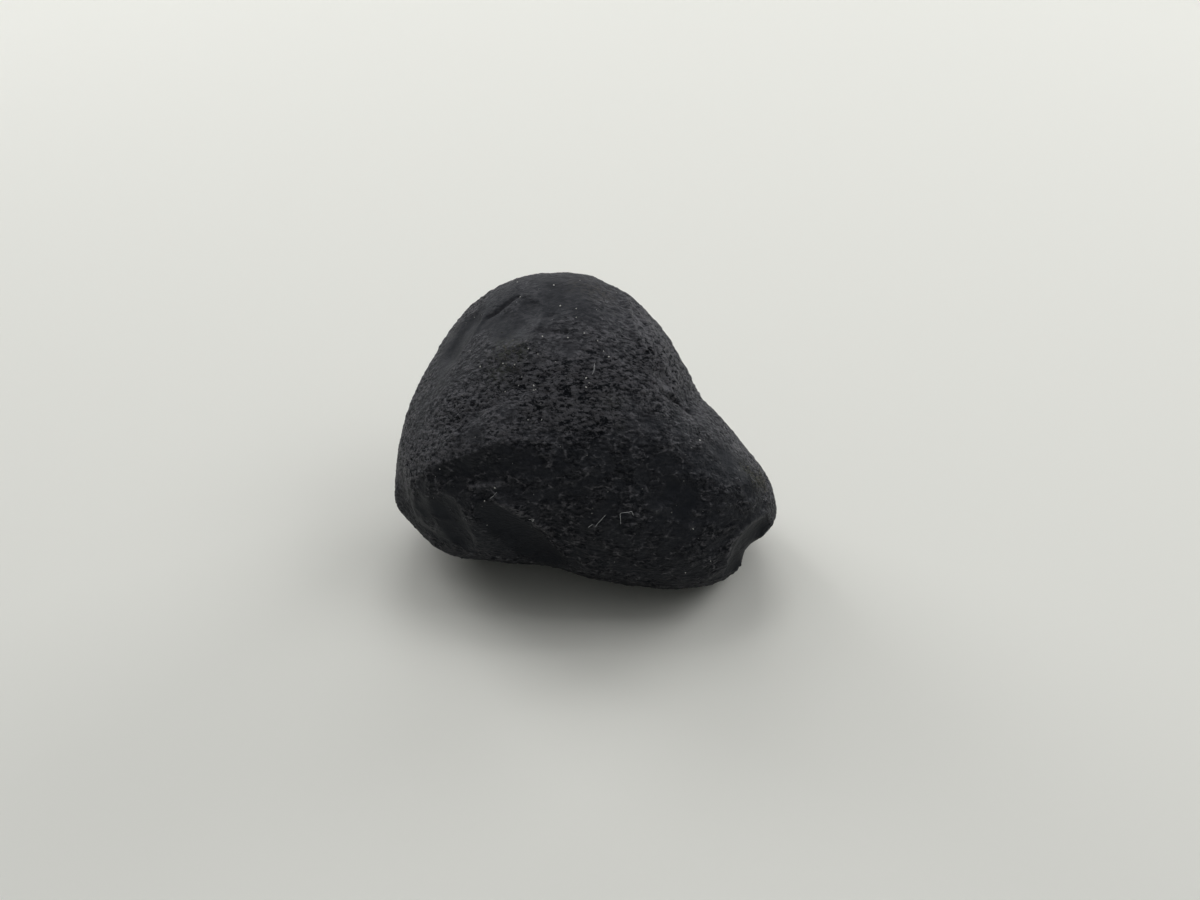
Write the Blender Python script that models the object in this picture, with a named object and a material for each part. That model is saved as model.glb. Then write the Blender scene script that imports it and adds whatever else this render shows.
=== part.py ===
# Saffordite: a natural nodule of black volcanic glass, one solid stone about 40 mm wide.
# +X is its long way, -Y its front and +Z up. The origin is on the ground, under its middle.
# Lengths are in millimetres until the stone is whole, and are then scaled to metres.

import math

import bmesh
import bpy
from mathutils import Vector, noise

MM = 0.001

NODE_NAME = "stone"
STONE_COLOUR = (0.010, 0.010, 0.011, 1.0)
STONE_ROUGHNESS = 0.55

SPHERE_LEVELS = 5            # 5120 triangles, about 1.3 mm along an edge

# The stone's widest outline lies in a plane that leans back from upright.
# All of its surface is pushed outwards from the heart, a point in that plane.
HEART = Vector((0.0, 0.0, 13.2))
LEAN = math.radians(35.0)
FRONT_BULGE = 13.5           # how far the surface stands out in front of the plane
BACK_BULGE = 17.0            # and behind it
SECTION_POWER = 2.3          # 2 is an elliptical section, more is squarer

# The outline, anticlockwise from the right end: (right, up) in the leaning plane.
OUTLINE = [
    (20.0, -6.0), (19.1, -2.8), (16.8, 0.2), (14.2, 3.2), (12.1, 5.2), (10.2, 9.1),
    (8.0, 12.6), (5.3, 15.1), (3.0, 16.6), (1.1, 17.8), (-2.6, 18.5), (-6.3, 18.1),
    (-9.4, 16.7), (-12.6, 14.1), (-15.2, 10.4), (-17.3, 6.6), (-18.9, 2.4), (-19.7, -0.9),
    (-19.9, -3.6), (-19.9, -6.3), (-18.3, -8.2), (-16.0, -10.4), (-13.4, -11.5), (-10.0, -11.7),
    (-4.7, -12.2), (0.6, -13.9), (5.8, -14.6), (10.0, -14.8), (13.9, -14.4), (16.6, -12.7),
    (18.5, -10.4), (19.8, -8.3),
]

# Rounded ridges (lift above 0) and hollows (below 0): each follows a line from start to end,
# fades over its reach to both sides, and lifts the surface by this much at its middle.
RIDGES_AND_HOLLOWS = {
    "brow ridge": dict(start=(-14.5, -9.0, 17.5), end=(-7.5, -10.2, 21.0), reach=1.8, lift=0.7),
    "hollow under the brow": dict(start=(-12.5, -10.8, 17.0), end=(-8.0, -12.0, 18.0), reach=2.4, lift=-0.5),
    "brow": dict(start=(-6.0, -10.3, 20.5), end=(7.0, -9.5, 19.5), reach=3.5, lift=0.5),
    "ledge under the hollow": dict(start=(-11.0, -12.4, 14.5), end=(-6.5, -13.2, 15.5), reach=1.8, lift=0.5),
    "front hollow": dict(start=(-8.0, -13.2, 12.5), end=(-3.5, -13.2, 9.5), reach=3.2, lift=-0.9),
    "front diagonal ridge": dict(start=(-8.5, -13.2, 15.0), end=(0.0, -13.4, 8.5), reach=1.8, lift=0.4),
    "inner heel scoop": dict(start=(-15.0, -10.9, 12.0), end=(-13.5, -11.0, 8.0), reach=2.4, lift=-0.9),
    "outer heel scoop": dict(start=(-18.5, -8.0, 12.0), end=(-16.5, -8.5, 8.0), reach=2.0, lift=-0.7),
    "top scoop": dict(start=(-7.0, 0.0, 29.3), end=(-4.5, 0.5, 29.6), reach=3.2, lift=-0.7),
    "left trough": dict(start=(-10.6, 1.0, 27.7), end=(-15.5, -1.0, 22.5), reach=2.3, lift=-0.6),
    "left swath": dict(start=(-12.5, -7.5, 20.5), end=(-3.0, -8.0, 24.5), reach=1.8, lift=0.4),
    "shoulder ridge": dict(start=(4.0, 5.3, 28.2), end=(7.8, -4.1, 23.8), reach=1.8, lift=0.4),
    "shoulder hollow": dict(start=(8.5, -3.5, 23.0), end=(10.0, -3.8, 21.0), reach=1.8, lift=-0.5),
    "right hollow": dict(start=(5.5, -12.2, 18.5), end=(8.0, -12.2, 17.5), reach=3.5, lift=-0.4),
    "toe crest": dict(start=(11.0, -12.5, 13.5), end=(17.0, -9.5, 14.5), reach=1.8, lift=0.35),
    "left flank hollow": dict(start=(-17.8, 5.0, 15.0), end=(-17.0, 8.0, 10.0), reach=2.8, lift=-0.6),
    "back crest": dict(start=(-10.0, 12.5, 23.5), end=(-3.0, 16.5, 21.0), reach=2.0, lift=0.5),
    "back scoop": dict(start=(-7.0, 16.0, 17.0), end=(-3.0, 17.0, 12.0), reach=4.0, lift=-1.0),
    "right flank dimple": dict(start=(9.0, 7.0, 20.5), end=(10.5, 6.0, 17.0), reach=2.5, lift=-0.5),
    "toe back scoop": dict(start=(17.0, 4.0, 9.0), end=(14.0, 7.0, 7.0), reach=2.6, lift=-0.6),
    "underside hollow": dict(start=(-12.5, 4.5, 2.5), end=(-14.5, 0.5, 4.0), reach=2.5, lift=-0.6),
}

# Shell-shaped scars where a flake came away: each is the hollow left by a ball.
FLAKE_SCARS = {
    "toe scar": dict(centre=(27.1, -11.9, 0.5), radius=12.0),
    "back scar": dict(centre=(10.6, 25.6, 1.8), radius=14.0),
    "left scar": dict(centre=(-21.8, 19.8, 14.0), radius=12.0),
}

LUMP_SIZE = 8.0              # width of the gentle swellings all over the stone
LUMP_LIFT = 0.35             # and how far they rise and sink

FOOT_SOFTNESS = 1.2          # how gently the underside levels out towards the ground
FOOT_CUT = 0.4               # what is then worn off it, which leaves the flat foot

RIGHT = Vector((1.0, 0.0, 0.0))
UP = Vector((0.0, math.sin(LEAN), math.cos(LEAN)))
FORWARD = Vector((0.0, -math.cos(LEAN), math.sin(LEAN)))


def clear_scene():
    for item in list(bpy.data.objects):
        bpy.data.objects.remove(item, do_unlink=True)


def polar_outline():
    """The outline as (angle, radius) pairs in order, with a turn more at each end."""
    turn = sorted((math.atan2(up, right), math.hypot(right, up)) for right, up in OUTLINE)
    before = [(angle - math.tau, radius) for angle, radius in turn]
    after = [(angle + math.tau, radius) for angle, radius in turn]
    return before + turn + after


def slope(knots, i):
    return (knots[i + 1][1] - knots[i - 1][1]) / (knots[i + 1][0] - knots[i - 1][0])


def outline_radius(angle, knots):
    """Radius of the outline at an angle, on a smooth curve through its points."""
    i = next(n for n in range(1, len(knots)) if knots[n + 1][0] > angle)
    (angle_a, radius_a), (angle_b, radius_b) = knots[i], knots[i + 1]
    span = angle_b - angle_a
    t = (angle - angle_a) / span
    return (
        (2 * t**3 - 3 * t**2 + 1) * radius_a
        + (t**3 - 2 * t**2 + t) * span * slope(knots, i)
        + (3 * t**2 - 2 * t**3) * radius_b
        + (t**3 - t**2) * span * slope(knots, i + 1)
    )


def body_radius(direction, knots):
    """How far the plain body reaches from the heart in a direction."""
    right, up, forward = direction.dot(RIGHT), direction.dot(UP), direction.dot(FORWARD)
    wide = outline_radius(math.atan2(up, right), knots)
    deep = FRONT_BULGE if forward > 0 else BACK_BULGE
    across = (math.hypot(right, up) / wide) ** SECTION_POWER
    along = (abs(forward) / deep) ** SECTION_POWER
    return (across + along) ** (-1 / SECTION_POWER)


def line_distance(point, start, end):
    start, end = Vector(start), Vector(end)
    line = end - start
    along = (point - start).dot(line) / line.length_squared
    return (point - start - line * min(max(along, 0.0), 1.0)).length


def feature_lift(point):
    """Rise or fall of the surface from every ridge, hollow and gentle lump at a point."""
    lift = LUMP_LIFT * noise.noise(point / LUMP_SIZE)
    for feature in RIDGES_AND_HOLLOWS.values():
        distance = line_distance(point, feature["start"], feature["end"])
        lift += feature["lift"] * math.exp(-((distance / feature["reach"]) ** 2))
    return lift


def scarred_radius(direction, radius):
    """The radius left after each flake scar's ball is taken out of the stone."""
    for scar in FLAKE_SCARS.values():
        to_ball = Vector(scar["centre"]) - HEART
        nearest = direction.dot(to_ball)
        inside = scar["radius"] ** 2 - to_ball.length_squared + nearest**2
        if inside > 0 and nearest > 0:
            radius = min(radius, nearest - math.sqrt(inside))
    return radius


def surface_point(direction, knots):
    radius = body_radius(direction, knots)
    radius += feature_lift(HEART + direction * radius)
    point = HEART + direction * scarred_radius(direction, radius)
    point.z = worn_height(point.z)
    return point


def worn_height(height):
    """Levels the underside out near the ground and wears a flat foot onto it."""
    levelled = FOOT_SOFTNESS * math.log1p(math.exp(height / FOOT_SOFTNESS))
    return max(levelled - FOOT_CUT, 0.0)


def centre_on_ground(mesh):
    """Puts the origin on the ground, under the middle of the stone's box."""
    corners = [vertex.co for vertex in mesh.verts]
    middle_x = (min(c.x for c in corners) + max(c.x for c in corners)) / 2
    middle_y = (min(c.y for c in corners) + max(c.y for c in corners)) / 2
    bmesh.ops.translate(mesh, verts=mesh.verts, vec=(-middle_x, -middle_y, 0.0))


def stone_material():
    material = bpy.data.materials.new("black volcanic glass")
    material.use_nodes = True
    shader = material.node_tree.nodes["Principled BSDF"]
    shader.inputs["Base Color"].default_value = STONE_COLOUR
    shader.inputs["Roughness"].default_value = STONE_ROUGHNESS
    shader.inputs["Metallic"].default_value = 0.0
    return material


def make_stone():
    knots = polar_outline()
    mesh = bmesh.new()
    bmesh.ops.create_icosphere(mesh, subdivisions=SPHERE_LEVELS, radius=1.0)
    for vertex in mesh.verts:
        vertex.co = surface_point(vertex.co.normalized(), knots)
    centre_on_ground(mesh)
    bmesh.ops.scale(mesh, verts=mesh.verts, vec=(MM, MM, MM))
    data = bpy.data.meshes.new(NODE_NAME)
    mesh.to_mesh(data)
    mesh.free()
    data.shade_smooth()
    data.materials.append(stone_material())
    stone = bpy.data.objects.new(NODE_NAME, data)
    bpy.context.scene.collection.objects.link(stone)
    return stone


def main():
    clear_scene()
    make_stone()


main()
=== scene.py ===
# A saffordite: one nodule of black natural glass, etched matte in the ground, on a pale floor.
import math
import random

import bmesh
import bpy
import numpy as np
from mathutils import Matrix, Vector


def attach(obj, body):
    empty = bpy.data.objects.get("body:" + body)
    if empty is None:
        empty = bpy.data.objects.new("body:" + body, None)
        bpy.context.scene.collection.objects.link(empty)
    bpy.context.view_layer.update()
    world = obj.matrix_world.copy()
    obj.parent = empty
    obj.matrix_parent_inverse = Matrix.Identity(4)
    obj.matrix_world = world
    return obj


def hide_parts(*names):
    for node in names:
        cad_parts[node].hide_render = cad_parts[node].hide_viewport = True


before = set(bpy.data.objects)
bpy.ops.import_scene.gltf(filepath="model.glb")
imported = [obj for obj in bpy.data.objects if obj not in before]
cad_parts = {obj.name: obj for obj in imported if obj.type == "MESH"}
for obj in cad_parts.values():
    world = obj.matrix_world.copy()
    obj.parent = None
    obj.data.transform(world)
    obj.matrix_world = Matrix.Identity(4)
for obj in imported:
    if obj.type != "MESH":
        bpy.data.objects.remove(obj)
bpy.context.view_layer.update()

mm = 0.001


def linearColour(code):
    # an sRGB hex colour as the linear values that a shader takes
    channels = [int(code[i:i + 2], 16) / 255 for i in (1, 3, 5)]
    return tuple(c / 12.92 if c <= 0.04045 else ((c + 0.055) / 1.055) ** 2.4 for c in channels) + (1.0,)


def addNode(tree, kind, settings=None, links=None):
    # one node, its properties or socket values by name, and the sockets that feed its inputs
    node = tree.nodes.new(kind)
    for name, value in (settings or {}).items():
        if isinstance(name, int) or name in node.inputs:
            node.inputs[name].default_value = value
        else:
            setattr(node, name, value)
    for name, source in (links or {}).items():
        tree.links.new(source, node.inputs[name])
    return node


def newMaterial(name):
    material = bpy.data.materials.new(name)
    material.use_nodes = True
    material.node_tree.nodes.clear()
    return material, material.node_tree


def smoothStep(low, high, value):
    t = np.clip((value - low) / (high - low), 0, 1)
    return t * t * (3 - 2 * t)


def cellNumber(cell, seed):
    # a number from 0 to 1 that is always the same for a grid cell: large odd numbers scatter its bits
    n = cell[:, 0] * 73856093 ^ cell[:, 1] * 19349663 ^ cell[:, 2] * 83492791 ^ (seed + 1) * 6971
    n = (n & 0xffffffff) * 2654435761 & 0xffffffff
    n = ((n ^ n >> 15) * 2246822519) & 0xffffffff
    return ((n ^ n >> 13) & 0xffffffff) / 0xffffffff


def softNoise(points, size, seed):
    # smooth swells about that wide, from -1 to 1; the seed picks one pattern out of many
    place = points / size
    cell = np.floor(place).astype(np.int64)
    part = place - cell
    ease = part * part * part * (part * (part * 6 - 15) + 10)
    total = np.zeros(len(points))
    for corner in np.ndindex(2, 2, 2):
        weight = np.prod(np.where(corner, ease, 1 - ease), axis=1)
        slopes = [cellNumber(cell + corner, seed * 3 + k) * 2 - 1 for k in range(3)]
        total += weight * sum(slopes[k] * (part[:, k] - corner[k]) for k in range(3))
    return total * 1.6         # brings the highest swells up to about 1


def cupPits(points, size, seed, smallest, largest):
    # how deep each point lies inside scattered balls, as if they were pressed into the surface
    place = points / size
    cell = np.floor(place).astype(np.int64)
    depth = np.zeros(len(points))
    for step in np.ndindex(3, 3, 3):
        near = cell + np.array(step) - 1
        spot = near + np.stack([cellNumber(near, seed * 5 + k) for k in range(3)], 1)
        reach = smallest + (largest - smallest) * cellNumber(near, seed * 5 + 3)
        gap = np.sum((spot - place) ** 2, axis=1)
        depth = np.maximum(depth, np.sqrt(np.clip(reach ** 2 - gap, 0, None)))
    return depth * size


def routeDistance(points, route):
    # distance to a broken line, and the nearest point on it
    best = np.full(len(points), 1e9)
    nearest = np.zeros_like(points)
    for a, b in zip(route[:-1], route[1:]):
        line = b - a
        t = np.clip((points - a) @ line / max(line @ line, 1e-9), 0, 1)
        spot = a + t[:, None] * line
        gap = np.linalg.norm(points - spot, axis=1)
        closer = gap < best
        best = np.where(closer, gap, best)
        nearest[closer] = spot[closer]
    return best, nearest


# the stone's skin: a fine copy of the frame's node, carved in millimetres
skin = {
    "weld": 0.001,             # mm within which points become one
    "rounding": 2,             # subdivisions that round the facets over
    "gridStep": 0.125,         # mm between points before it is thinned out
    "smoothing": 8,            # passes that take the facets off
    "triangles": 198000,
}

# worn scoops: a ball, or a row of them, pressed in along a route of places in mm
# rim is how far the edge is rounded over, polish how far the etching spared the floor of the scoop
# a route lies on the skin and is pressed in by depth; an axis is the balls' own centre line
polishFade = (-0.05, 0.25)     # mm inside a scoop's edge where the polish begins and is full
scoops = {
    "browHollow": {
        "route": [(-12.9, -12.2, 17.5), (-11.2, -12.7, 18.1), (-9.3, -13.2, 18.8)],
        "radius": 2.8, "depth": 0.14, "rim": 0.10, "polish": 0.85,
    },
    "heelShell": {
        "route": [(-13.6, -12.5, 13.0), (-13.0, -13.0, 11.2), (-12.8, -13.1, 9.4)],
        "radius": 2.5, "depth": 0.88, "rim": 0.36, "polish": 0.6,
    },
    "heelValley": {
        "route": [(-16.6, -11.0, 12.4), (-16.0, -11.2, 10.6), (-15.2, -11.3, 8.8)],
        "radius": 2.4, "depth": 0.14, "rim": 0.46, "polish": 0.4,
    },
    "heelFacet": {
        "route": [(-19.3, -7.6, 12.4), (-18.0, -8.3, 8.6)],
        "radius": 3.6, "depth": 0.16, "rim": 0.40, "polish": 0.5,
    },
    "frontHollow": {
        "route": [(-9.3, -14.9, 14.2), (-8.0, -14.7, 12.9), (-6.7, -14.0, 11.0), (-5.4, -13.4, 9.0),
                  (-4.0, -12.8, 6.8)],
        "radius": 3.2, "depth": 0.62, "rim": 0.08, "polish": 0.92,
    },
    "backDish": {
        "route": [(3.0, 13.5, 19.0), (6.5, 13.5, 16.5)],
        "radius": 7.0, "depth": 0.75, "rim": 0.25, "polish": 0.45,
    },
    "backShell": {
        "route": [(12.0, 10.5, 9.5), (9.0, 12.5, 6.5)],
        "radius": 4.5, "depth": 0.55, "rim": 0.12, "polish": 0.8,
    },
    "backLeftDish": {
        "route": [(-9.0, 11.5, 20.5), (-11.5, 9.5, 17.0)],
        "radius": 6.0, "depth": 0.60, "rim": 0.22, "polish": 0.5,
    },
    "leftShell": {
        "route": [(-17.0, 5.0, 12.0), (-16.0, 8.0, 9.0)],
        "radius": 4.0, "depth": 0.50, "rim": 0.10, "polish": 0.8,
    },
    "rightDish": {
        "route": [(14.5, 3.0, 18.0), (17.5, 1.0, 14.5)],
        "radius": 5.5, "depth": 0.55, "rim": 0.20, "polish": 0.5,
    },
    "rightShell": {
        "route": [(17.0, 4.0, 7.0), (15.0, 7.0, 5.0)],
        "radius": 3.4, "depth": 0.50, "rim": 0.10, "polish": 0.8,
    },
    "undersideDish": {
        "route": [(-4.0, 2.0, 1.0), (4.0, -1.0, 1.0)],
        "radius": 9.0, "depth": 0.30, "rim": 0.25, "polish": 0.3,
    },
    "toeScar": {
        "route": [(17.7, -12.0, 9.4), (16.8, -12.6, 8.5), (16.2, -12.9, 7.4), (15.6, -12.9, 6.2)],
        "radius": 4.6, "depth": 0.66, "rim": 0.08, "polish": 0.9,
    },
    "toeNotch": {
        "axis": [(17.95, -14.7, 8.2), (18.95, -6.2, 1.3)],
        "radius": 2.1, "rim": 0.30, "polish": 0.9,
    },
    "toeChip": {
        "axis": [(19.3, -8.6, 13.6), (19.1, -6.4, 12.6)],
        "radius": 0.75, "rim": 0.06, "polish": 0.2,
    },
    "topBowl": {
        "route": [(-5.7, -1.1, 29.0), (-5.6, -1.3, 29.0)],
        "radius": 3.2, "depth": 0.15, "rim": 0.10, "polish": 0.7,
    },
    "lowerBowl": {
        "route": [(-7.3, -2.9, 28.0), (-6.4, -2.9, 28.3)],
        "radius": 3.6, "depth": 0.17, "rim": 0.12, "polish": 0.5,
    },
    "topShelf": {
        "route": [(-8.8, -0.8, 28.0), (-7.6, -2.6, 28.0)],
        "radius": 6.0, "depth": 0.18, "rim": 0.20, "polish": 0.45,
    },
    "leftTrough": {
        "route": [(-11.3, 0.8, 26.7), (-12.0, 0.3, 25.9), (-13.0, -0.4, 24.8), (-13.6, -1.4, 23.8)],
        "radius": 2.0, "depth": 0.25, "rim": 0.16, "polish": 0.9,
    },
    "shoulderPit": {
        "route": [(7.4, -5.9, 24.4), (8.1, -5.6, 23.6)],
        "radius": 1.3, "depth": 0.40, "rim": 0.10, "polish": 0.4,
    },
    "shoulderOval": {
        "route": [(5.7, 0.1, 27.5), (6.3, -0.8, 27.0)],
        "radius": 1.0, "depth": 0.20, "rim": 0.10, "polish": 0.3,
    },
    "rightHollow": {
        "route": [(7.8, -14.2, 16.8), (10.4, -14.1, 15.4)],
        "radius": 5.5, "depth": 0.22, "rim": 0.18, "polish": 0.6,
    },
}

# creases and crests: the skin falls or rises by lift along a route, a little unevenly
creaseWander = {"size": 0.9, "share": 0.35}
creases = {
    "topCrease": {
        "route": [(-9.8, 0.2, 27.5), (-9.0, 0.3, 28.1), (-8.1, 0.6, 28.7), (-7.4, 0.9, 29.1),
                  (-6.6, 1.1, 29.4)],
        "width": 0.22, "lift": -0.20,
    },
    "topCrest": {
        "route": [(-10.1, 0.8, 27.5), (-10.8, -0.4, 26.6), (-11.4, -1.5, 25.8), (-12.5, -2.7, 24.6)],
        "width": 0.22, "lift": 0.12,
    },
    "bowlRim": {
        "route": [(-6.4, 1.1, 29.5), (-5.4, 0.8, 29.6), (-4.5, -0.2, 29.5), (-4.1, -1.7, 29.1),
                  (-4.4, -3.1, 28.6)],
        "width": 0.30, "lift": 0.12,
    },
    "slit": {
        "route": [(-4.6, -3.9, 28.4), (-3.6, -4.1, 28.4), (-2.4, -4.3, 28.4), (-1.7, -4.3, 28.5)],
        "width": 0.28, "lift": -0.26,
    },
    "smallPit": {
        "route": [(-3.6, -2.1, 29.1), (-3.2, -2.1, 29.1)],
        "width": 0.30, "lift": -0.15,
    },
    "shelfPits": {
        "route": [(-8.1, -3.5, 27.4), (-6.9, -4.2, 27.6), (-6.0, -4.4, 27.8)],
        "width": 0.25, "lift": -0.12,
    },
    "shelfCrest": {
        "route": [(-6.9, -5.1, 27.2), (-5.4, -4.9, 27.8), (-4.8, -4.5, 28.1)],
        "width": 0.30, "lift": 0.12,
    },
    "browCrest": {
        "route": [(-15.8, -10.9, 16.5), (-14.3, -11.5, 17.6), (-12.3, -12.1, 18.8),
                  (-10.6, -12.5, 19.8), (-9.0, -12.8, 20.8), (-8.1, -12.7, 21.3)],
        "width": 0.26, "lift": 0.12,
    },
    "swath": {
        "route": [(-13.2, -10.6, 19.9), (-11.6, -10.8, 20.9), (-10.1, -11.0, 21.7),
                  (-7.2, -10.4, 23.3)],
        "width": 0.90, "lift": 0.16,
    },
    "swathTrough": {
        "route": [(-13.4, -9.2, 20.8), (-10.6, -9.7, 22.3), (-8.7, -8.9, 23.7), (-6.6, -8.6, 24.8)],
        "width": 0.80, "lift": -0.20,
    },
    "shoulderCrest": {
        "route": [(4.0, 2.5, 28.5), (4.7, -1.4, 27.8), (5.2, -2.9, 27.2), (6.2, -4.2, 26.1),
                  (6.5, -6.0, 25.0), (7.7, -6.2, 24.0)],
        "width": 0.40, "lift": 0.28,
    },
    "waistGroove": {
        "route": [(8.0, -6.9, 23.2), (9.3, -6.1, 21.5), (10.5, -6.3, 20.4)],
        "width": 0.34, "lift": -0.46,
    },
    "frontRidge": {
        "route": [(-8.4, -15.0, 15.8), (-6.7, -15.3, 14.9), (-5.3, -15.2, 14.1), (-4.4, -15.0, 12.8),
                  (-3.4, -14.8, 11.4), (-2.4, -14.7, 10.1), (-1.6, -14.4, 8.2)],
        "width": 0.50, "lift": 0.30,
    },
    "hollowEdge": {
        "route": [(-10.0, -14.5, 13.2), (-9.2, -14.2, 11.6), (-8.0, -13.7, 10.0), (-6.5, -13.2, 8.4),
                  (-5.2, -12.6, 6.8)],
        "width": 0.55, "lift": 0.08,
    },
    "frontPit": {
        "route": [(-0.7, -15.3, 15.3), (-0.4, -15.3, 15.2)],
        "width": 0.40, "lift": -0.16,
    },
    "ledge": {
        "route": [(-11.2, -13.4, 16.3), (-9.5, -13.8, 16.7), (-7.7, -14.1, 17.1)],
        "width": 0.30, "lift": 0.24,
    },
    "toeCrest": {
        "route": [(11.3, -14.4, 14.8), (13.3, -13.5, 15.0), (14.9, -12.6, 14.8), (16.5, -10.4, 14.9)],
        "width": 0.60, "lift": 0.10,
    },
    "backCrest": {
        "route": [(-2.5, 13.5, 22.0), (-2.0, 14.5, 17.5), (0.5, 15.0, 13.0), (4.5, 14.5, 10.5),
                  (9.0, 13.0, 11.0)],
        "width": 0.9, "lift": 0.35,
    },
    "backRipple": {
        "route": [(5.0, 14.5, 8.0), (8.0, 13.0, 9.0), (11.0, 11.5, 8.5), (13.5, 9.5, 7.0)],
        "width": 0.45, "lift": 0.16,
    },
    "backFurrow": {
        "route": [(-6.0, 14.0, 12.0), (-3.5, 14.8, 10.0), (-2.5, 14.5, 7.0)],
        "width": 0.55, "lift": -0.30,
    },
    "leftCrest": {
        "route": [(-13.0, 7.5, 17.0), (-14.5, 8.0, 13.0), (-13.5, 10.0, 8.5)],
        "width": 0.8, "lift": 0.30,
    },
    "leftRipple": {
        "route": [(-18.0, 3.0, 14.0), (-17.0, 6.0, 13.0), (-15.0, 9.0, 11.0)],
        "width": 0.40, "lift": 0.14,
    },
    "rightCrest": {
        "route": [(10.0, 5.0, 22.5), (13.5, 5.0, 18.0), (16.0, 4.5, 13.0), (16.5, 5.0, 9.0)],
        "width": 0.8, "lift": 0.28,
    },
    "rightFurrow": {
        "route": [(12.0, 9.0, 16.0), (13.5, 8.5, 13.0), (13.0, 9.5, 10.5)],
        "width": 0.50, "lift": -0.28,
    },
    "toeRim": {
        "route": [(18.8, -10.6, 11.0), (17.9, -11.6, 11.3), (16.9, -12.5, 11.4), (15.9, -13.3, 11.1),
                  (15.1, -13.9, 10.5), (14.5, -14.3, 9.8), (14.2, -14.5, 8.8), (14.2, -14.3, 7.7),
                  (14.4, -13.8, 6.2)],
        "width": 0.42, "lift": 0.20,
    },
}

# how deep the ground water etched, from about 0 to 1, above and below the brow
# patch, mottle and island are sizes in mm, and each fade is where in the noise one begins and is full
etching = {
    "crown": {"least": 0.20, "patches": 0.16, "shoulders": 0.28, "patch": 3.2, "fade": (-0.35, 0.35)},
    "front": {"least": 0.24, "mottling": 0.46, "mottle": 1.8, "fade": (-0.3, 0.35)},
    # the shoulders lie between the top and the walls, by how far the skin faces up
    "topFade": (0.95, 0.75), "wallFade": (0.1, 0.4),
    "island": 1.5, "islandFade": (0.15, 0.45), "most": 1.10, "spared": 0.34,
    "polished": 0.85,          # how much of the etching a polished scoop is spared
    "limits": (0.04, 1.25),
}
# the frost that the etching left, and how much thinner it is on the broken front and in the scoops
frosting = {"least": 0.15, "etched": 0.77, "front": 0.75, "polished": 0.35}

# etched pits: cell and deepest cut in mm, and the smallest and largest pit as parts of a cell
pits = {
    "wide": {"cell": 2.10, "cut": 0.08, "reach": (0.35, 0.80)},
    "broad": {"cell": 1.15, "cut": 0.11, "reach": (0.25, 0.72)},
    "fine": {"cell": 0.62, "cut": 0.36, "reach": (0.25, 0.72)},
}
# the larger pits are shallower on the crown, and scoops are partly spared them
largePits = {"crown": 0.5, "polished": 0.7}
# soft lumps with a crease round each, between the pits: width and height in mm
lumps = {
    "coarse": {"size": 0.66, "lift": 0.20},
    "small": {"size": 0.36, "lift": 0.18},
}
lumpMiddle = 0.25              # the level between lumps and creases
reliefStretch = 1.9            # pits and lumps lie longer across the stone than up it
reliefBend = {"size": 0.7, "reach": 0.16}
# broad, low swells under it all: size and height in mm
swells = {"wide": (2.4, 0.07), "small": (1.1, 0.035)}

# where the etched crown ends and the broken front begins: x and z in mm, left to right
browLine = [(-20.5, 7.0), (-18.6, 11.5), (-17.2, 14.6), (-15.8, 16.5), (-14.3, 17.6), (-12.3, 18.8),
            (-10.6, 19.8), (-9.0, 20.8), (-8.1, 21.3), (-4.1, 21.8), (0.1, 22.3), (4.5, 22.7),
            (9.3, 21.6), (13.4, 19.0), (17.0, 15.7), (19.0, 12.4)]
browEdge = {
    "crispUpTo": -9.0,         # mm in x: a crisp edge left of this
    "wornFrom": -4.5,          # and a worn, gradual one right of this
    "halfWidth": (0.22, 2.3),  # mm at the crisp end and at the worn end
    "wander": (0.12, 1.3),     # the same, for how far the edge strays
    "wanderSize": 1.6,
    "facing": (0.05, -0.25),   # the front fades in as the skin turns from back (1) to front (-1)
    # the heel is broken too, although it looks more to the left than to the front
    "heelX": (-17, -12), "heelFacing": (0.15, 0),
}

# rubbed edges together with painted highlights, where rims, crests and smooth patches catch the light: the
# frost is heavier by strength along a route, a little unevenly; width is in mm
highlightAndScuffWander = {"size": 0.6, "share": 0.5}
highlightsAndScuffs = {
    "heelFacet": {
        "route": [(-19.6, -7.4, 12.8), (-19.0, -8.2, 11.9), (-18.3, -8.9, 11.0), (-17.6, -9.3, 9.8)],
        "width": 0.60, "strength": 0.08,
    },
    "shellRim": {
        "route": [(-14.6, -12.0, 15.4), (-13.6, -12.6, 14.9), (-12.6, -13.4, 14.1),
                  (-12.0, -14.0, 12.9), (-11.9, -14.0, 11.2), (-12.0, -13.6, 9.6)],
        "width": 0.50, "strength": 0.08,
    },
    # a painted sheen along the right shoulder, where the light catches its edge
    "shoulder": {
        "route": [(6.1, 0.8, 27.4), (7.1, -2.2, 26.2), (7.6, -4.2, 25.0), (8.4, -5.5, 23.4)],
        "width": 1.60, "strength": 0.60,
    },
    "plateau": {
        "route": [(-3.4, -5.2, 28.1), (-1.4, -5.8, 27.7), (0.2, -6.0, 27.5)],
        "width": 1.20, "strength": 0.20,
    },
    "bowl": {
        "route": [(-6.6, -0.4, 29.0), (-5.4, -0.8, 29.1), (-5.4, -2.0, 28.9)],
        "width": 1.50, "strength": 0.16,
    },
    "ledge": {
        "route": [(-11.2, -13.4, 16.4), (-9.5, -13.8, 16.8), (-7.7, -14.1, 17.2)],
        "width": 0.30, "strength": 0.55,
    },
    "ridge": {
        "route": creases["frontRidge"]["route"][:5],
        "width": 0.50, "strength": 0.34,
    },
    "toeRim": {
        "route": [(18.2, -11.3, 11.1), (16.9, -12.5, 11.3), (15.9, -13.3, 11.0), (15.1, -13.9, 10.4),
                  (14.6, -14.2, 9.7), (14.3, -14.4, 8.8), (14.3, -14.3, 7.7)],
        "width": 0.24, "strength": 0.30,
    },
}

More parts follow.
